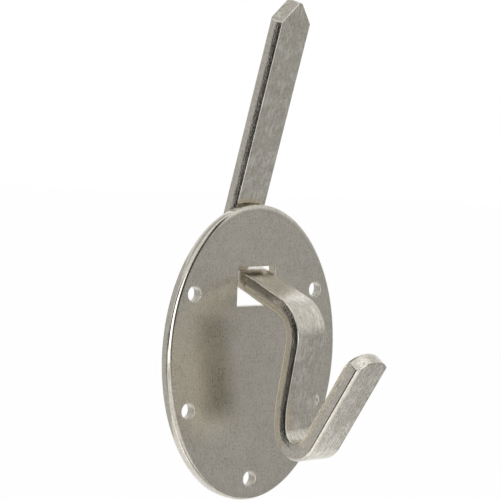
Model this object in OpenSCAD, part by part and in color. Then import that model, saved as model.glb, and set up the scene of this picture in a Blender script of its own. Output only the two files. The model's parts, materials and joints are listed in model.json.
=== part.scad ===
// Hook for hollow wallboard: a bent flat bar hung through a slotted oval nail plate.
// All sizes in millimetres. The plate's back lies in the plane y = 0, its front faces -Y and
// +Z is up. The frame's zero is midway between the upper pair of nail holes, on that back.

/* [Wall plate] */

// Width of the oval plate
plate_w = 30; // [24:0.5:44]
// Height of the oval plate
plate_h = 40; // [32:0.5:60]
// Sheet the plate is pressed from
plate_t = 1.35; // [0.8:0.05:2.5]
// Roll that the blanking press leaves round the front edge
edge_roll = 0.35; // [0.1:0.05:0.6]
// Break on the back edge, where the die cuts through
edge_break = 0.08; // [0.02:0.01:0.2]

/* [Nail holes] */

// Shank of the nail that goes through each hole
nail_d = 1.75; // [1.2:0.05:3]
// Room round the nail in its hole, on the diameter
nail_room = 0.35; // [0.1:0.05:0.8]
// Metal from the plate's edge to the middle of each side hole
nail_inset = 2.6; // [2:0.1:5]
// Metal from the plate's edge to the middle of the bottom hole
foot_inset = 2.85; // [2:0.05:6]
// Place of the upper pair of holes round the oval, in degrees above the middle
nail_up = 27.5; // [15:0.5:60]
// Place of the lower pair of holes round the oval, in degrees below the middle
nail_low = 23.5; // [15:0.5:60]

/* [Slot] */

// Plate left standing above the slot
slot_drop = 8.3; // [5:0.1:14]
// Room beside the bar in the slot, on each side
slot_side = 0.7; // [0.3:0.05:1.5]
// Height the slot adds to the bar's thickness, so that the leg can be swung through
slot_swing = 3; // [2:0.1:5]

/* [Bar] */

// Width of the flat bar
bar_w = 5.3; // [4:0.1:8]
// Thickness of the flat bar
bar_t = 2.35; // [1.5:0.05:3.5]
// Radius of the long edges that the shears roll over, along the leg's back
bar_roll = 0.42; // [0.1:0.01:0.7]
// Radius of the long edges that the shears break through, along the leg's front
bar_break = 0.12; // [0.05:0.01:0.3]
// Depth of the broken part of each sheared side, from the leg's front
broken_depth = 1.05; // [0.5:0.05:1.2]
// Slope of the broken part, in degrees
broken_slope = 7; // [1:0.5:12]

/* [Leg behind the board] */

// Leg from the corner of the bend to its point
leg_len = 37.2; // [25:0.1:60]
// Length of the pointed end
point_len = 2.9; // [1.5:0.1:5]
// Width of the blunt nose left on the point
point_nose = 0.5; // [0.2:0.1:1.5]
// Wallboard that the leg and the shank close on
board_t = 12.7; // [9:0.1:20]
// Play left in front of the board when the leg stands against its back
board_play = 0.8; // [0.2:0.1:3]
// Fall of the bar from square, where it leaves the leg
bar_fall = 2.7; // [0:0.1:15]

/* [Hook in front] */

// Straight run from the front bend's corner down to the heel bend's corner
shank_len = 13; // [9:0.1:30]
// Slope of the shank away from the wall, with the leg upright
shank_kick = 6.1; // [0:0.1:15]
// Slope of the heel away from the wall, with the leg upright
heel_kick = 23.5; // [10:0.1:35]
// Slope of the upturned end away from the wall, with the leg upright
end_flare = 17.3; // [0:0.1:40]
// Straight length of the upturned end, to the top of its arc
end_len = 15.1; // [8:0.05:30]
// Rise of the arc that the upturned end is cropped to
end_cut = 1.3; // [0.5:0.05:2.5]
// Rounding of that arc's inner edge
end_round = 0.95; // [0.2:0.05:1.5]

/* [Bends, to the middle of the bar] */

// Bend between the leg and the bar through the board
r_leg = 2; // [1.8:0.05:4]
// Bend at the front, over the shank
r_front = 4.25; // [2.5:0.05:8]
// Slow bend from the shank into the heel
r_heel = 13.6; // [6:0.1:25]
// Tight bend that holds what is hung
r_saddle = 2.95; // [2:0.05:12]

/* [How the hook lies in the plate] */

// Lean of the leg towards the front, out of the wall
lean = 17.3; // [5:0.1:25]
// Gap at each edge of the plate that the loose hook leans on
seat_gap = 0.3; // [0.1:0.05:0.5]

/* [Hidden] */

hole_r = (nail_d + nail_room) / 2;
slot_w = bar_w + 2 * slot_side;
slot_h = bar_t + slot_swing;
slot_top = plate_h / 2 - slot_drop;

// Flats round the oval, round a nail hole, and round a quarter turn of a rolled edge
steps = 144;
hole_sides = 48;
quarter = 5;
// Most that the bar turns from one flat of a bend to the next, in degrees
bend_step = 4.5;
// Arc of the dressed edge, in degrees, which runs out into the face short of a quarter turn
dress_arc = 78;
dress_flats = 6;
// How far a cutter reaches past what it cuts
past = 1;

// Run of the bar through board and plate, from the middle of the leg to the middle of the shank
through_len = board_t + plate_t + bar_t + board_play;

// Headings of the bar's straight runs, in degrees, in the plane (forward, up), leg upright
a_leg = -90;
a_bar = -bar_fall;
a_shank = -90 + shank_kick;
a_heel = -90 + heel_kick;
a_end = 90 - end_flare;

// Straight metal that each bend takes from the run on either side of its corner
t_leg = r_leg * tan((a_bar - a_leg) / 2);
t_front = r_front * tan((a_bar - a_shank) / 2);
t_heel = r_heel * tan((a_heel - a_shank) / 2);

// Corners and ends of the bar's middle line; the leg's corner is the zero
function step(a, l) = [l * cos(a), l * sin(a)];
p_front = step(a_bar, through_len - t_front);
p_corner = step(a_bar, through_len);
p_slow = p_corner + step(a_shank, shank_len - t_heel);
p_heel = p_corner + step(a_shank, shank_len) + step(a_heel, t_heel);
p_end = p_heel + step(a_heel + 90, r_saddle) + step(a_end - 90, r_saddle);

// The loose hook leans with its leg on the plate's upper edge and its bar under the slot's upper
// edge, both at the back, a gap away. These two give the place of the leg's corner.
fall = lean + bar_fall;
off_leg = -plate_h / 2 * sin(lean) - bar_t / 2 - seat_gap;
off_bar = slot_top * cos(fall) - bar_t / 2 - seat_gap;
hook_f = (off_leg * cos(fall) + off_bar * sin(lean)) / cos(bar_fall);
hook_z = (off_bar * cos(lean) - off_leg * sin(fall)) / cos(bar_fall);

// Point of the plate's oval at angle a, moved in along its normal, from the middle of the plate
function oval(a, inset) =
    let (x = plate_w / 2 * cos(a), z = plate_h / 2 * sin(a))
    let (nx = plate_h * cos(a), nz = plate_w * sin(a))
    let (n = sqrt(nx * nx + nz * nz))
    [x - inset * nx / n, z - inset * nz / n];

// Height of the frame's zero, the upper pair of nail holes, over the middle of the plate
zero_z = oval(nail_up, nail_inset)[1];

// ---- Wall plate -------------------------------------------------------------------------

// Rims of the plate from its back to its front, each as [inset, depth]
rims = concat(
    [[edge_break, 0], [0, edge_break]],
    [for (k = [0:quarter]) let (b = k * 90 / quarter)
        [edge_roll * (1 - cos(b)), plate_t - edge_roll + edge_roll * sin(b)]]
);

// Oval blank, lofted through its rims
module blank() {
    rows = len(rims);
    points = [for (r = rims) for (i = [0:steps - 1])
        let (p = oval(i * 360 / steps, r[0])) [p[0], -r[1], p[1]]];
    sides = [for (j = [0:rows - 2]) for (i = [0:steps - 1])
        let (a = j * steps, b = (j + 1) * steps, n = (i + 1) % steps)
        each [[a + i, b + i, b + n], [a + i, b + n, a + n]]];
    back = [for (i = [0:steps - 1]) i];
    front = [for (i = [steps - 1:-1:0]) (rows - 1) * steps + i];
    polyhedron(points = points, faces = concat(sides, [back, front]));
}

// One round hole straight through the plate
module nail_hole(p) {
    translate([p[0], past, p[1]])
        rotate([90, 0, 0])
            cylinder(h = plate_t + 2 * past, r = hole_r, $fn = hole_sides);
}

// Pressed oval plate with five nail holes and the slot that the hook hangs in
module wall_plate() {
    color([0.62, 0.61, 0.58])
        translate([0, 0, -zero_z])
            difference() {
                blank();
                for (a = [nail_up, 180 - nail_up, 180 + nail_low, -nail_low])
                    nail_hole(oval(a, nail_inset));
                nail_hole(oval(-90, foot_inset));
                translate([-slot_w / 2, -plate_t - past, slot_top - slot_h])
                    cube([slot_w, plate_t + 2 * past, slot_h]);
            }
}

// ---- Hook -------------------------------------------------------------------------------

// Section of the sheared bar: thickness first, to the leg's front, then width
broken_in = broken_depth * tan(broken_slope);
function edge(q, sx, sy, r, in) = [for (k = [0:quarter]) let (a = (q + k / quarter) * 90)
    [sx * (bar_t / 2 - r) + r * cos(a), sy * (bar_w / 2 - in - r) + r * sin(a)]];
section = concat(
    edge(0, 1, 1, bar_break, broken_in),
    [[bar_t / 2 - broken_depth, bar_w / 2]],
    edge(1, -1, 1, bar_roll, 0),
    edge(2, -1, -1, bar_roll, 0),
    [[bar_t / 2 - broken_depth, -bar_w / 2]],
    edge(3, 1, -1, bar_break, broken_in)
);

// Stations [forward, up, heading] round a bend from point p and heading a, to the left (+) or right (-)
function bend(p, a, turn, r, from = 0) =
    let (n = ceil(abs(turn) / bend_step), side = sign(turn), c = p + step(a + side * 90, r))
    [for (k = [from:n]) let (h = a + turn * k / n, q = c + step(h - side * 90, r)) [q[0], q[1], h]];

// Middle line of the bent bar, from past the leg's point to past the upturned end
tail = p_end + step(a_end, end_len + past);
line = concat(
    [[0, leg_len + past, a_leg]],
    bend([0, t_leg], a_leg, a_bar - a_leg, r_leg),
    bend(p_front, a_bar, a_shank - a_bar, r_front),
    bend(p_slow, a_shank, a_heel - a_shank, r_heel),
    bend(p_heel, a_heel, a_end - a_heel, r_saddle, 1),
    [[tail[0], tail[1], a_end]]
);

// The section swept along the middle line
module bent_bar() {
    n = len(section);
    points = [for (s = line) for (c = section)
        [s[0] - c[0] * sin(s[2]), s[1] + c[0] * cos(s[2]), c[1]]];
    sides = [for (j = [0:len(line) - 2]) for (i = [0:n - 1])
        let (a = j * n, b = (j + 1) * n, m = (i + 1) % n)
        each [[a + i, b + m, b + i], [a + i, a + m, b + m]]];
    start = [for (i = [n - 1:-1:0]) i];
    end = [for (i = [0:n - 1]) (len(line) - 1) * n + i];
    polyhedron(points = points, faces = concat(sides, [start, end]));
}

// What the shears take off the leg: two corners, down to a blunt nose at its full length
module shear() {
    nose = point_nose / 2;
    half = bar_w / 2 + past;
    low = leg_len - point_len - past * point_len / (bar_w / 2 - nose);
    top = leg_len + 2 * past;
    rotate([0, 90, 0])
        linear_extrude(height = 2 * bar_t, center = true)
            polygon([
                [nose, leg_len], [half, low], [half, top],
                [-half, top], [-half, low], [-nose, leg_len]
            ]);
}

// What the crop takes off the upturned end: all that lies past an arc across the bar, and the
// inner edge of that arc, which is dressed round so that a cord or wire slips over it
module crop() {
    r = (bar_w * bar_w / 4 + end_cut * end_cut) / (2 * end_cut);
    half = bar_t / 2;
    translate([0, end_len - r, 0])
        rotate([0, 90, 0])
            difference() {
                translate([-bar_w, 0, -bar_t])
                    cube([2 * bar_w, r + 2 * past, 2 * bar_t]);
                rotate_extrude($fn = 2 * hole_sides)
                    polygon(concat(
                        [[0, -half - past]],
                        [for (k = [0:dress_flats]) let (b = (k / dress_flats - 1) * dress_arc)
                            [r - end_round + end_round * cos(b), end_round - half + end_round * sin(b)]],
                        [[r, half + past], [0, half + past]]
                    ));
            }
}

// Hook: one bent flat bar with a pointed leg and an upturned end, hung loosely through the slot
// and leaning forwards out of the wall
module hook() {
    color([0.66, 0.65, 0.62])
        translate([0, -hook_f, hook_z - zero_z])
            rotate([90, 0, -90])
                rotate([0, 0, -lean])
                    difference() {
                        bent_bar();
                        shear();
                        translate([p_end[0], p_end[1], 0])
                            rotate([0, 0, a_end - 90])
                                crop();
                    }
}

wall_plate();
hook();
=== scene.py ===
import json
from math import asin, cos, hypot, pi, radians, sin, sqrt, tan

import bmesh
import bpy
from mathutils import Matrix, Vector


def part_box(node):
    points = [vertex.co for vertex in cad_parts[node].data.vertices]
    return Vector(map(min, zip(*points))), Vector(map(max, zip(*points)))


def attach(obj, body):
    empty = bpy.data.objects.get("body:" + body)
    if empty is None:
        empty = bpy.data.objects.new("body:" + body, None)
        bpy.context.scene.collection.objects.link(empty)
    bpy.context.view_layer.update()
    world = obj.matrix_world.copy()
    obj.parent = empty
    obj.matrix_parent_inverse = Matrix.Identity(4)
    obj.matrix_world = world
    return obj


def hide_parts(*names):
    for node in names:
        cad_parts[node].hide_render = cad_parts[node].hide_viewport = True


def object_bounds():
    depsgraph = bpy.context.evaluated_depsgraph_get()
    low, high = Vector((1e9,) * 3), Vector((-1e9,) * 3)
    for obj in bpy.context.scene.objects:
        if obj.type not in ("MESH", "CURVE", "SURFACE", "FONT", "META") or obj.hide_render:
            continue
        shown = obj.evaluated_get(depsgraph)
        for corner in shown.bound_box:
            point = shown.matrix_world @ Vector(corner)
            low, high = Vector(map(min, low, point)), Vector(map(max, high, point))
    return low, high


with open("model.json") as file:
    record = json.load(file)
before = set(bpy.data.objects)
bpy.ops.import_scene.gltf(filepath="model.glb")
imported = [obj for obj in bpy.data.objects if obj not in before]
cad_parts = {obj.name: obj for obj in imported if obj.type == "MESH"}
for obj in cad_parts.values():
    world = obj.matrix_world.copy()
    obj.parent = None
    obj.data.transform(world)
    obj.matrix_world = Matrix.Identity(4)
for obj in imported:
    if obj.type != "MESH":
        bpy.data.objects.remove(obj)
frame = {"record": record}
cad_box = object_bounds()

# ---- Wall plate --------------------------------------------------------------------------
# An oval blanked from 1.35 mm steel sheet, pierced with five nail holes and the slot that the
# hook hangs in, then plated in dull nickel. The punch rolls each front edge over, and each
# back edge is left with the small break of the die.

mm = 0.001
plate_low, plate_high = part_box("wall_plate")
plate_mid = (plate_low + plate_high) / 2
plate_w, plate_t, plate_h = plate_high - plate_low
mounts = {m["name"]: m for m in frame["record"]["mounts"]}
slot_half = 3.35 * mm
slot_top, slot_foot = 3.411 * mm, -1.939 * mm
slot_corner = 0.12 * mm
# How each punched edge is left: the roll's width and depth at the front, the break at the back
oval_roll = (0.72 * mm, 0.35 * mm, 0.08 * mm)
slot_roll = (0.10 * mm, 0.10 * mm, 0.03 * mm)
hole_roll = (0.14 * mm, 0.14 * mm, 0.04 * mm)
# Flat metal kept beside each edge, so that the rounding doesn't shade the whole face
flat_margin = 0.06 * mm
roll_steps = 14


def oval_edge(turns=288):
    """Points round the blank, each with the way into the metal."""
    for k in range(turns):
        a = 2 * pi * k / turns
        point = Vector((plate_mid.x + plate_w / 2 * cos(a), plate_mid.z + plate_h / 2 * sin(a)))
        outward = Vector((plate_h * cos(a), plate_w * sin(a))).normalized()
        yield point, -outward


def nail_hole(x, z, r, turns=56):
    """Points round one pierced hole, each with the way into the metal."""
    for k in range(turns):
        away = Vector((cos(2 * pi * k / turns), sin(2 * pi * k / turns)))
        yield Vector((x, z)) + r * away, away


def slot_edge(turns=6):
    """Points round the slot, whose corners keep the small radius of a worn punch."""
    mid, half = (slot_top + slot_foot) / 2, (slot_top - slot_foot) / 2
    for quarter, (sx, sz) in enumerate([(1, 1), (1, -1), (-1, -1), (-1, 1)]):
        corner = Vector((sx * (slot_half - slot_corner), mid + sz * (half - slot_corner)))
        for k in range(turns + 1):
            a = (quarter + k / turns) * pi / 2
            away = Vector((sin(a), cos(a)))
            yield corner + slot_corner * away, away


def punched(roll_w, roll_d, snap):
    """The wall of a punched edge, from the back face to the front: (into the metal, depth)."""
    rows = [(snap + flat_margin, 0), (snap, 0), (0.3 * snap, 0.3 * snap), (0, snap)]
    rows.append((0, plate_t - roll_d))
    for k in range(1, roll_steps + 1):
        a = k / roll_steps * pi / 2
        rows.append((roll_w * (1 - cos(a)), plate_t - roll_d * (1 - sin(a))))
    return rows + [(roll_w + flat_margin, plate_t)]


edges = [(list(oval_edge()), punched(*oval_roll)), (list(slot_edge()), punched(*slot_roll))]
holes = []
for name in ("upper_nails", "lower_nails"):
    pair = mounts[name]
    for side in (-0.5, 0.5):
        x = side * pair["dims"]["spacing_x_mm"] * mm
        holes.append((x, pair["pos_m"][2], pair["dims"]["hole_r_mm"] * mm))
single = mounts["bottom_nail"]
holes.append((single["pos_m"][0], single["pos_m"][2], single["dims"]["r_mm"] * mm))
for x, z, r in holes:
    edges.append((list(nail_hole(x, z, r)), punched(*hole_roll)))

bm = bmesh.new()
front_rim, back_rim = [], []
for points, rows in edges:
    rings = []
    for inset, depth in rows:
        y = plate_high.y - depth
        rings.append([bm.verts.new((p.x + n.x * inset, y, p.y + n.y * inset)) for p, n in points])
    for low, high in zip(rings, rings[1:]):
        for k in range(len(points)):
            j = (k + 1) % len(points)
            bm.faces.new((low[k], low[j], high[j], high[k]))
    for ring, rim in ((rings[0], back_rim), (rings[-1], front_rim)):
        for k in range(len(ring)):
            rim.append(bm.edges.get((ring[k], ring[(k + 1) % len(ring)])))
bmesh.ops.triangle_fill(bm, use_beauty=True, edges=back_rim, normal=(0, 1, 0))
bmesh.ops.triangle_fill(bm, use_beauty=True, edges=front_rim, normal=(0, -1, 0))
bmesh.ops.recalc_face_normals(bm, faces=bm.faces)
for f in bm.faces:
    f.smooth = True
plate_mesh = bpy.data.meshes.new("pressed_plate")
bm.to_mesh(plate_mesh)
bm.free()
plate = bpy.data.objects.new("pressed_plate", plate_mesh)
bpy.context.scene.collection.objects.link(plate)


def put(tree, kind, inputs=None, **settings):
    """Adds one node; an input is a value or another node's socket."""
    n = tree.nodes.new(kind)
    for key, value in settings.items():
        setattr(n, key, value)
    for key, value in (inputs or {}).items():
        if isinstance(value, bpy.types.NodeSocket):
            tree.links.new(value, n.inputs[key])
        else:
            n.inputs[key].default_value = value
    return n


def ramp(tree, fac, stops):
    """A colour ramp through (place, colour) stops."""
    n = put(tree, "ShaderNodeValToRGB", {"Fac": fac})
    while len(n.color_ramp.elements) < len(stops):
        n.color_ramp.elements.new(0.5)
    for e, (place, colour) in zip(n.color_ramp.elements, stops):
        e.position, e.color = place, (*colour, 1)
    return n.outputs["Color"]


def noise(tree, where, scale, detail, roughness=0.6):
    return put(tree, "ShaderNodeTexNoise", {
        "Vector": where, "Scale": scale, "Detail": detail, "Roughness": roughness}).outputs["Fac"]


def spread(tree, value, low, high, at_low=0.0, at_high=1.0):
    """A value between low and high, spread from at_low to at_high and held at both ends."""
    return put(tree, "ShaderNodeMapRange", {
        "Value": value, "From Min": low, "From Max": high,
        "To Min": at_low, "To Max": at_high}).outputs["Result"]


def blended(tree, part, a, b, kind="FLOAT"):
    """a with a part of b mixed in."""
    return put(tree, "ShaderNodeMix", {"Factor": part, "A": a, "B": b},
               data_type=kind).outputs["Result"]


def times(tree, a, b):
    return put(tree, "ShaderNodeMath", {0: a, 1: b}, operation="MULTIPLY").outputs[0]


def scaled(tree, where, scales):
    return put(tree, "ShaderNodeVectorMath", {0: where, 1: scales}, operation="MULTIPLY").outputs[0]


def raised(tree, height, depth, strength=1.0, over=None):
    """A bump of a depth, over another bump if there is one."""
    inputs = {"Strength": strength, "Distance": depth, "Height": height}
    if over:
        inputs["Normal"] = over
    return put(tree, "ShaderNodeBump", inputs).outputs["Normal"]


# The plating's tones, and how much of their change is streak and how much is cloud
dull_tones = [
    (0.34, (0.450, 0.420, 0.356)), (0.50, (0.600, 0.567, 0.496)), (0.66, (0.730, 0.698, 0.627))]
streak_share, cloud_share, cloud_scale = 0.35, 0.16, 420.0
mottle_range = (0.35, 0.65)
burnished_sheen, burnished_grip = 0.13, 0.5
drawn_depth = 0.0020 * mm
# Where tumbling has rubbed it paler: patches, broken up along the streaks
rubbed_tone = (0.84, 0.81, 0.74, 1)
rub_scale, rub_range, line_range = 520.0, (0.47, 0.58), (0.42, 0.57)


def dull_nickel(name, place, burnish, grain, streak, tooth_depth, sheen, scuff=0.0, torn=None):
    """Dull nickel over steel: a fine grain, short streaks of the rolling or drawing, and small
    cloudy changes of colour and sheen. burnish gives 1 where the punch or the shear has rubbed
    the metal smooth. grain and streak are scales along the three axes, sheen is the range of
    the roughness, scuff is how much of the surface is rubbed paler by tumbling, and torn adds
    the pits where a sheared side has broken."""
    material = bpy.data.materials.new(name)
    material.use_nodes = True
    tree = material.node_tree
    tree.nodes.clear()
    where = place(tree)
    tooth = noise(tree, scaled(tree, where, grain), 1.0, 2.0)
    drawn = noise(tree, scaled(tree, where, streak), 1.0, 3.0)
    cloud = noise(tree, where, cloud_scale, 4.0)
    mottle = blended(tree, cloud_share, blended(tree, streak_share, tooth, drawn), cloud)
    smooth = burnish(tree, where)
    open_sheen = spread(tree, mottle, *mottle_range, *sheen)
    roughness = blended(tree, smooth, open_sheen, burnished_sheen)
    grip = spread(tree, smooth, 0.0, 1.0, 1.0, burnished_grip)
    relief = raised(tree, tooth, tooth_depth, strength=grip)
    relief = raised(tree, drawn, drawn_depth, over=relief)
    if torn:
        relief = torn(tree, where, relief)
    colour = ramp(tree, mottle, dull_tones)
    if scuff:
        rub = spread(tree, noise(tree, where, rub_scale, 4.0, 0.7), *rub_range)
        line = spread(tree, drawn, *line_range)
        open_metal = spread(tree, smooth, 0.0, 1.0, scuff, 0.0)
        worn = times(tree, times(tree, rub, line), open_metal)
        colour = blended(tree, worn, colour, rubbed_tone, "RGBA")
    metal = put(tree, "ShaderNodeBsdfPrincipled", {
        "Base Color": colour, "Metallic": 1.0, "Roughness": roughness, "Normal": relief})
    put(tree, "ShaderNodeOutputMaterial", {"Surface": metal.outputs["BSDF"]})
    return material


def from_origin(tree):
    """Where the metal lies in the piece."""
    return put(tree, "ShaderNodeTexCoord").outputs["Object"]


# Where the roll starts, as a share of the way from the oval's middle to its edge
rim_start = (0.940, 0.962)


def rolled_rim(tree, where):
    """1 on the rolled edge of the oval, 0 on the face."""
    centred = put(tree, "ShaderNodeVectorMath", {0: where, 1: plate_mid}, operation="SUBTRACT")
    unit = scaled(tree, centred.outputs[0], (2 / plate_w, 0, 2 / plate_h))
    out = put(tree, "ShaderNodeVectorMath", {0: unit}, operation="LENGTH").outputs["Value"]
    return spread(tree, out, *rim_start)


plate_mesh.materials.append(dull_nickel(
    "dull_nickel_sheet", from_origin, rolled_rim, grain=(5200, 5200, 3200),
    streak=(3600, 3600, 900), tooth_depth=0.0035 * mm, sheen=(0.26, 0.33)))
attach(plate, "root")
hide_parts("wall_plate")

# ---- Hook --------------------------------------------------------------------------------
# One flat steel bar, 5.3 by 2.35 mm, cropped to a V at the leg and to an arc at the other end,
# then bent cold four times and plated with the plate. It is made here in the same order: the
# straight blank first, and then a bending tree that lays it along its middle line.

bar_half = Vector((2.65, 1.175)) * mm
# The shears roll the long edges over on the leg's back, leave each side smooth to half its
# depth, and break through the rest on a slope, up to a sharp edge on the leg's front
rolled_edge, broken_edge = 0.42 * mm, 0.12 * mm
broken_depth, broken_slope = 1.05 * mm, radians(7)
crop_edge, least_half = 0.11 * mm, 0.01 * mm
# The leg's V: half its blunt nose, and how wide and long its slopes are
nose_half, v_wide, v_long = 0.25 * mm, 2.4, 2.9
shoulder_round = 0.12 * mm
# The other end's arc, dressed round on the leg's front and only broken on its back
arc_rise = 1.3 * mm
arc_r = (bar_half.x ** 2 + arc_rise ** 2) / (2 * arc_rise)
arc_round = 0.2 * mm
dressed_edge, plain_edge = 0.95 * mm, 0.12 * mm
# Straight runs of the middle line, as (length to the next corner, heading, bend at its far
# end), in millimetres and in degrees in the plane (out of the wall, up). The shank bows
# straight into the tight bend, so the fourth run is only as long as the two bends need.
bow_r, tight_r = 13.6, 2.95
shank_way, heel_way, end_way = -101.2, -83.8, 55.4
bow_cut = bow_r * tan(radians((heel_way - shank_way) / 2))
tight_cut = tight_r * tan(radians((end_way - heel_way) / 2))
runs = [
    (37.2, -107.3, 2.0),
    (17.2, -20.0, 4.25),
    (13.0, shank_way, bow_r),
    (bow_cut + tight_cut, heel_way, tight_r),
    (15.1 + tight_cut, end_way, 0.0),
]


def heading(a):
    """Way of a run, by degrees up from straight out of the wall."""
    return Vector((0, -cos(radians(a)), sin(radians(a))))


# Corners of the middle line, and stations along the blank: a step apart where it stays
# straight, and so many degrees apart where it will be bent
straight_step, bend_step = 0.9 * mm, 2.5
corners, stations, blank_len = [Vector((0, 0, 0))], [], 0.0
used = 0.0
for (length, a, r), after in zip(runs, runs[1:] + [None]):
    corners.append(corners[-1] + heading(a) * length * mm)
    turn = abs(after[1] - a) if after else 0.0
    turn = min(turn, 360 - turn)
    cut = r * tan(radians(turn / 2)) * mm
    straight = length * mm - used - cut
    count = max(1, round(straight / straight_step))
    stations += [blank_len + straight * k / count for k in range(count)]
    blank_len += straight
    bend = radians(turn) * r * mm
    count = round(turn / bend_step)
    stations += [blank_len + bend * k / count for k in range(count)]
    blank_len += bend
    used = cut


def falls(past_start, r):
    """How far an edge of radius r has fallen away at a distance past the start of its round."""
    u = min(max(past_start, 0.0), r)
    return r - sqrt(r * r - u * u)


def soft_min(a, b, k):
    """The smaller of two, with the corner between them rounded over a width k."""
    h = max(k - abs(a - b), 0.0) / k
    return min(a, b) - h * h * k / 4


def half_width(s):
    """Half width of the blank at s, between its cropped V and its cropped arc."""
    v_crop = nose_half + s * v_wide / v_long
    down = min(blank_len - s, arc_r)
    arc_crop = sqrt(max(arc_r ** 2 - (arc_r - down) ** 2, 0.0))
    if down >= arc_rise + mm:
        arc_crop = 2 * bar_half.x
    w = soft_min(soft_min(bar_half.x, v_crop, shoulder_round), arc_crop, arc_round)
    return w - falls(crop_edge - s, crop_edge)


# Where the two flats are divided, as shares of their half width: closer towards the sides
across = (0.12, 0.28, 0.43, 0.57, 0.69, 0.79, 0.87, 0.93, 0.975)


def section_ring(s):
    """Points round the blank at s: across the leg's front at +Y, down one side, and back."""
    w = max(half_width(s), least_half)
    half = bar_half.y - falls(crop_edge - s, crop_edge)
    cut = min(crop_edge, half * 0.9, w * 0.9)
    slope = tan(broken_slope)
    smooth_depth = 2 * half - rolled_edge - broken_depth
    sharp_x = bar_half.x - broken_depth * slope
    side = []
    for k in range(7):
        a = k / 6 * pi / 2
        side.append((sharp_x - broken_edge * (1 - sin(a)), half - broken_edge * (1 - cos(a))))
    for k in range(1, 5):
        down = broken_edge + (broken_depth - broken_edge) * k / 4
        side.append((bar_half.x - (broken_depth - down) * slope, half - down))
    for k in range(1, 5):
        side.append((bar_half.x, half - broken_depth - smooth_depth * k / 4))
    for k in range(1, 13):
        a = k / 12 * pi / 2
        side.append((bar_half.x - rolled_edge * (1 - cos(a)), rolled_edge * (1 - sin(a)) - half))
    # A crop that has gone in past the side stands straight, with a small edge of its own
    side = [(min(x, w - falls(cut - half + abs(y), cut)), y) for x, y in side]
    row = [(side[0][0] * f, half) for f in across] + side
    row += [(side[-1][0] * f, -half) for f in across[::-1]]
    points = []
    for sx, x, y in [(1, *p) for p in row] + [(-1, *p) for p in row[::-1]]:
        edge = dressed_edge if y > 0 else plain_edge
        out = hypot(x, s - blank_len + arc_r) if s > blank_len - arc_r else 0.0
        limit = bar_half.y - falls(out - arc_r + edge, edge)
        points.append((sx * x, max(min(y, limit), -limit)))
    return points


# Closer stations over the nose and its V, round the arc, and on the flats just before it
stations += [crop_edge * (1 - cos(k / 6 * pi / 2)) for k in range(7)]
stations += [(0.2 + 0.06 * k) * mm for k in range(60)]
sweep = asin(bar_half.x / arc_r) * 1.05
stations += [blank_len - arc_r * (1 - cos(sweep * (k + 0.4) / 60)) for k in range(60)]
stations += [blank_len - arc_rise - 0.05 * mm * k for k in range(1, 12)]
stations.sort()
least_step, end_inset = 0.0004 * mm, 0.12
stations = stations[:1] + [b for a, b in zip(stations, stations[1:]) if b - a > least_step]

bm = bmesh.new()
rings = [[bm.verts.new((x, y, s)) for x, y in section_ring(s)] for s in stations]
for low, high in zip(rings, rings[1:]):
    for k in range(len(low)):
        j = (k + 1) % len(low)
        bm.faces.new((low[k], low[j], high[j], high[k]))
for ring in (rings[0], rings[-1]):
    middle = sum((v.co for v in ring), Vector()) / len(ring)
    inner = [bm.verts.new(v.co.lerp(middle, end_inset)) for v in ring]
    for k in range(len(ring)):
        j = (k + 1) % len(ring)
        bm.faces.new((ring[k], ring[j], inner[j], inner[k]))
    bm.faces.new(inner)
bmesh.ops.recalc_face_normals(bm, faces=bm.faces)
for f in bm.faces:
    f.smooth = True
blank_mesh = bpy.data.meshes.new("cropped_blank")
bm.to_mesh(blank_mesh)
bm.free()
blank = bpy.data.objects.new("cropped_blank", blank_mesh)
bpy.context.scene.collection.objects.link(blank)

# The middle line as straight runs, each corner with the radius it is bent to. It goes on a
# hair past the bar's end, so that the last ring still lies on it.
line_mesh = bpy.data.meshes.new("middle_line")
past_end = 0.02
last = corners[-1] + heading(end_way) * past_end * mm
line_mesh.from_pydata(corners[:-1] + [last], [(k, k + 1) for k in range(len(corners) - 1)], [])
bends = line_mesh.attributes.new("bend_radius", "FLOAT", "POINT")
bends.data.foreach_set("value", [0.0] + [r * mm for _, _, r in runs])
hook = bpy.data.objects.new("bent_hook", line_mesh)
bpy.context.scene.collection.objects.link(hook)

bending = bpy.data.node_groups.new("cold_bending", "GeometryNodeTree")
for label, kind in (("Middle line", "Geometry"), ("Blank", "Object"),
                    ("Flats in a bend", "Int"), ("Finish", "Material")):
    bending.interface.new_socket(label, in_out="INPUT", socket_type="NodeSocket" + kind)
bending.interface.new_socket("Hook", in_out="OUTPUT", socket_type="NodeSocketGeometry")
given = put(bending, "NodeGroupInput")
unbent = put(bending, "GeometryNodeObjectInfo", {"Object": given.outputs["Blank"]})
radius = put(bending, "GeometryNodeInputNamedAttribute", {"Name": "bend_radius"}, data_type="FLOAT")
wire = put(bending, "GeometryNodeMeshToCurve", {"Mesh": given.outputs["Middle line"]})
filleted = put(bending, "GeometryNodeFilletCurve", {
    "Curve": wire.outputs["Curve"], "Count": given.outputs["Flats in a bend"],
    "Radius": radius.outputs["Attribute"], "Limit Radius": False}, mode="POLY")
rest = put(bending, "GeometryNodeInputPosition")
kept = put(bending, "GeometryNodeStoreNamedAttribute", {
    "Geometry": unbent.outputs["Geometry"], "Name": "along_bar",
    "Value": rest.outputs["Position"]}, data_type="FLOAT_VECTOR", domain="POINT")
split = put(bending, "ShaderNodeSeparateXYZ", {"Vector": rest.outputs["Position"]})
at = put(bending, "GeometryNodeSampleCurve", {
    "Curves": filleted.outputs["Curve"], "Length": split.outputs["Z"]},
    mode="LENGTH", use_all_curves=True)
outward = put(bending, "ShaderNodeVectorMath", {
    0: at.outputs["Tangent"], 1: (1, 0, 0)}, operation="CROSS_PRODUCT")
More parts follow.
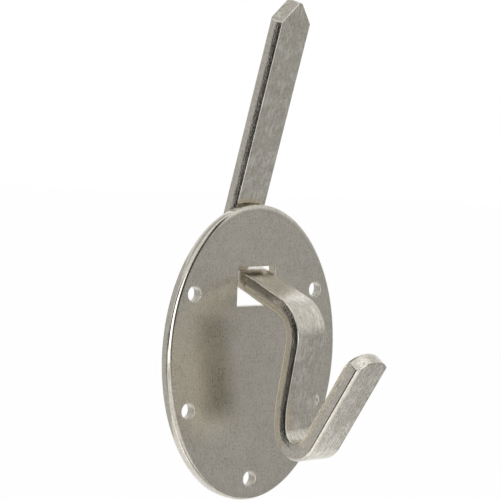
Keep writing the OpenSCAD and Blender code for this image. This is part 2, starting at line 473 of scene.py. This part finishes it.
through = put(bending, "ShaderNodeVectorMath", {
    0: outward.outputs[0], "Scale": split.outputs["Y"]}, operation="SCALE")
sideways = put(bending, "ShaderNodeCombineXYZ", {"X": split.outputs["X"]})
offset = put(bending, "ShaderNodeVectorMath", {
    0: through.outputs[0], 1: sideways.outputs[0]}, operation="ADD")
landed = put(bending, "ShaderNodeVectorMath", {
    0: at.outputs["Position"], 1: offset.outputs[0]}, operation="ADD")
bent = put(bending, "GeometryNodeSetPosition", {
    "Geometry": kept.outputs["Geometry"], "Position": landed.outputs[0]})
real = put(bending, "GeometryNodeRealizeInstances", {"Geometry": bent.outputs["Geometry"]})
coated = put(bending, "GeometryNodeSetMaterial", {
    "Geometry": real.outputs["Geometry"], "Material": given.outputs["Finish"]})
put(bending, "NodeGroupOutput", {"Hook": coated.outputs["Geometry"]})


def from_blank(tree):
    """Where the metal lay in the straight blank, before it was bent."""
    return put(tree, "ShaderNodeAttribute", attribute_name="along_bar").outputs["Vector"]


# On the sheared side, out from the bar's middle and up towards the leg's front: where the
# rubbed roll starts, where the broken part starts, and where smooth metal gives way to it
roll_start, broken_start = (2.24 * mm, 2.36 * mm), (2.42 * mm, 2.50 * mm)
smooth_end, torn_start = (0.08 * mm, 0.14 * mm), (0.08 * mm, 0.17 * mm)
pit_scale, pit_depth = 5200.0, 0.015 * mm


def out_and_up(tree, where):
    """How far out to either side, and how far up towards the leg's front."""
    split = put(tree, "ShaderNodeSeparateXYZ", {"Vector": where})
    out = put(tree, "ShaderNodeMath", {0: split.outputs["X"]}, operation="ABSOLUTE").outputs[0]
    return out, split.outputs["Y"]


def sheared_side(tree, where):
    """1 on the smooth half of the sheared sides, 0 on the flats and where the sides broke."""
    out, up = out_and_up(tree, where)
    return times(tree, spread(tree, out, *roll_start), spread(tree, up, *smooth_end, 1.0, 0.0))


def torn_pits(tree, where, relief):
    """Pits over the relief, only where the sides broke."""
    out, up = out_and_up(tree, where)
    broken = times(tree, spread(tree, out, *broken_start), spread(tree, up, *torn_start))
    pits = noise(tree, where, pit_scale, 2.0)
    return raised(tree, pits, pit_depth, strength=broken, over=relief)


bar_finish = dull_nickel(
    "dull_nickel_bar", from_blank, sheared_side, grain=(4600, 4600, 3200),
    streak=(3400, 3400, 620), tooth_depth=0.0125 * mm, sheen=(0.13, 0.20),
    scuff=0.78, torn=torn_pits)
press = hook.modifiers.new("cold_bending", "NODES")
press.node_group = bending
sockets = {s.name: s.identifier for s in bending.interface.items_tree if s.in_out == "INPUT"}
press[sockets["Blank"]] = blank
press[sockets["Flats in a bend"]] = 36
press[sockets["Finish"]] = bar_finish
graph = bpy.context.evaluated_depsgraph_get()
bent_mesh = bpy.data.meshes.new_from_object(hook.evaluated_get(graph))
hook.modifiers.clear()
hook.data = bent_mesh
bpy.data.objects.remove(blank)

# It hangs where its node hangs: the two boxes share their middle
low = Vector([min(v.co[k] for v in bent_mesh.vertices) for k in range(3)])
high = Vector([max(v.co[k] for v in bent_mesh.vertices) for k in range(3)])
hook_low, hook_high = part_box("hook")
bent_mesh.transform(Matrix.Translation((hook_low + hook_high - low - high) / 2))
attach(hook, "root")
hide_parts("hook")

# ---- Studio ------------------------------------------------------------------------------
# A plain white room: a pale floor well below the hanging piece, a white world behind it, and
# soft boxes at the front, above and low at the left. Cards in black and greys glow at their shade
# about a metre off, where only the metal sees them, and give it its edges as painted reflections.

scene = bpy.context.scene
scene.view_settings.view_transform = "Standard"
object_low, object_high = Vector(cad_box[0]), Vector(cad_box[1])
object_mid = (object_low + object_high) / 2
white = (1, 1, 1, 1)
room_light = 0.6


def seen_as_room(tree):
    """1 for what the camera and the metal see, 0 for light that falls on a matt surface."""
    path = put(tree, "ShaderNodeLightPath")
    seen = path.outputs["Is Camera Ray"]
    for ray in ("Is Glossy Ray", "Is Transmission Ray"):
        seen = put(tree, "ShaderNodeMath", {0: seen, 1: path.outputs[ray]},
                   operation="MAXIMUM").outputs[0]
    return seen


white_room = bpy.data.worlds.new("white_room")
scene.world = white_room
white_room.use_nodes = True
tree = white_room.node_tree
tree.nodes.clear()
level = spread(tree, seen_as_room(tree), 0.0, 1.0, room_light, 1.0)
sky = put(tree, "ShaderNodeBackground", {"Color": white, "Strength": level})
put(tree, "ShaderNodeOutputWorld", {"Surface": sky.outputs["Background"]})

# The floor is matt and keeps soft shadows; what the camera and the metal see of it is lifted
# to the white of the room, so that no horizon shows
floor_half, floor_drop, floor_lift = 30, 0.75, 0.5
floor_tone = (0.82, 0.82, 0.82, 1)
floor_z = object_low.z - floor_drop
floor_mesh = bpy.data.meshes.new("pale_floor")
floor_mesh.from_pydata(
    [(x * floor_half, y * floor_half, floor_z) for x, y in ((-1, -1), (1, -1), (1, 1), (-1, 1))],
    [], [(0, 1, 2, 3)])
floor = bpy.data.objects.new("pale_floor", floor_mesh)
scene.collection.objects.link(floor)
pale_floor = bpy.data.materials.new("pale_floor")
pale_floor.use_nodes = True
tree = pale_floor.node_tree
tree.nodes.clear()
lift = times(tree, seen_as_room(tree), floor_lift)
matt = put(tree, "ShaderNodeBsdfDiffuse", {"Color": floor_tone})
glow = put(tree, "ShaderNodeEmission", {"Color": white, "Strength": lift})
lit = put(tree, "ShaderNodeAddShader", {0: matt.outputs["BSDF"], 1: glow.outputs["Emission"]})
put(tree, "ShaderNodeOutputMaterial", {"Surface": lit.outputs["Shader"]})
floor_mesh.materials.append(pale_floor)


def toward(azimuth, elevation):
    """Way from the piece, by degrees round from the front to the right, and degrees up."""
    a, e = radians(azimuth), radians(elevation)
    return Vector((sin(a) * cos(e), -cos(a) * cos(e), sin(e)))


# Watts a square metre at which a lamp's face is as bright as the white of the room
white_power = 4


def soft_box(name, azimuth, elevation, wide, high, level, reach=1.2):
    """A rectangular lamp, its sides in degrees as the piece sees them."""
    data = bpy.data.lights.new(name, "AREA")
    data.shape = "RECTANGLE"
    data.size = 2 * reach * tan(radians(wide / 2))
    data.size_y = 2 * reach * tan(radians(high / 2))
    data.energy = white_power * data.size * data.size_y * level
    lamp = bpy.data.objects.new(name, data)
    scene.collection.objects.link(lamp)
    lamp.location = object_mid + toward(azimuth, elevation) * reach
    lamp.rotation_euler = toward(azimuth, elevation).to_track_quat("Z", "Y").to_euler()
    lamp.visible_camera = False


def studio_card(name, shade, outline, reach=1.2, top_shade=None):
    """A card that glows at its shade, seen only in the metal as a painted reflection; it lights
    nothing matt and casts no shadow. Its outline is given as (azimuth, elevation) from the piece.
    A graded card runs from its shade at the foot to top_shade at its top."""
    mesh = bpy.data.meshes.new(name)
    corners = [object_mid + toward(a, e) * reach for a, e in outline]
    middle = sum(corners, Vector()) / len(corners)
    n = len(corners)
    mesh.from_pydata(corners + [middle], [], [(k, (k + 1) % n, n) for k in range(n)])
    card = bpy.data.objects.new(name, mesh)
    scene.collection.objects.link(card)
    material = bpy.data.materials.new(name)
    material.use_nodes = True
    tree = material.node_tree
    tree.nodes.clear()
    if top_shade:
        foot, top = min(v.z for v in corners), max(v.z for v in corners)
        place = put(tree, "ShaderNodeTexCoord").outputs["Object"]
        height = put(tree, "ShaderNodeSeparateXYZ", {"Vector": place}).outputs["Z"]
        shade = spread(tree, height, foot, top, shade, top_shade)
    # The card glows at its shade: a painted reflection that only the metal sees
    reflected_glow = put(tree, "ShaderNodeEmission", {"Color": white, "Strength": shade})
    put(tree, "ShaderNodeOutputMaterial", {"Surface": reflected_glow.outputs["Emission"]})
    mesh.materials.append(material)
    card.visible_camera = card.visible_diffuse = False
    card.visible_shadow = card.visible_transmission = False


soft_box("front_box", -14, 3, wide=32, high=22, level=1.6)
soft_box("top_box", 0, 82, wide=44, high=44, level=0.1)
soft_box("low_left_box", -75, -55, wide=60, high=30, level=0.3, reach=0.25)

# The dark cards: at the left, behind the camera and up from there, and at the front's right
studio_card("left_card", 0.01, [
    (-128, 9), (-100, 9), (-84, 6), (-80, -14), (-84, -30), (-105, -31), (-128, -16)])
studio_card("camera_card", 0.01, [(-70, 26), (-30, 26), (-30, -3), (-70, -3)])
studio_card("right_card", 0.06, [
    (0, 56), (18, 56), (22, 40), (22, 26), (25, 12), (29, 2), (31, -4), (28, -10), (15, -8),
    (8, 0), (6, 12), (8, 24), (2, 40)])

# The greys that the flats of the metal show: at the right, behind, and below
far = 1.3
studio_card("grey_card", 0.47, [
    (24, 3), (49, 3), (104, 3), (110, -34), (106, -58), (60, -58), (24, -36)], far)
studio_card("graded_card", 0.56, [
    (24, 3), (49, 3), (104, 3), (104, 22), (60, 22), (24, 22)], far, top_shade=0.9)
studio_card("upper_card", 0.84, [(40, 24), (60, 22), (112, 22), (118, 62), (40, 62)], far)
studio_card("back_card", 0.61, [
    (-176, 26), (-134, 26), (-129, 8), (-129, -16), (-134, -30), (-176, -30)], far)
studio_card("high_back_card", 0.6, [(-205, 58), (-140, 58), (-140, 28), (-205, 28)], far)
studio_card("low_card", 0.5, [(-28, -34), (20, -34), (26, -50), (-26, -50)], reach=0.9)

# Camera: a long lens, to the left of the plate and a little above, turned a little on its
# own axis
camera_data = bpy.data.cameras.new("camera")
camera = bpy.data.objects.new("camera", camera_data)
scene.collection.objects.link(camera)
scene.camera = camera
aim = Vector((-0.2106, 0.0, 5.529)) * mm
stand_off, roll = 282.4245 * mm, radians(2.1296)
back = toward(-41.8628, 3.8207)
right = Vector((-back.y, back.x, 0)).normalized()
up = back.cross(right)
up, right = up * cos(roll) - right * sin(roll), right * cos(roll) + up * sin(roll)
spot = aim + back * stand_off
camera.matrix_world = Matrix((
    (right.x, up.x, back.x, spot.x), (right.y, up.y, back.y, spot.y),
    (right.z, up.z, back.z, spot.z), (0, 0, 0, 1)))
camera_data.sensor_width, camera_data.lens = 36, 150.8256
camera_data.clip_start, camera_data.clip_end = 0.01, 20
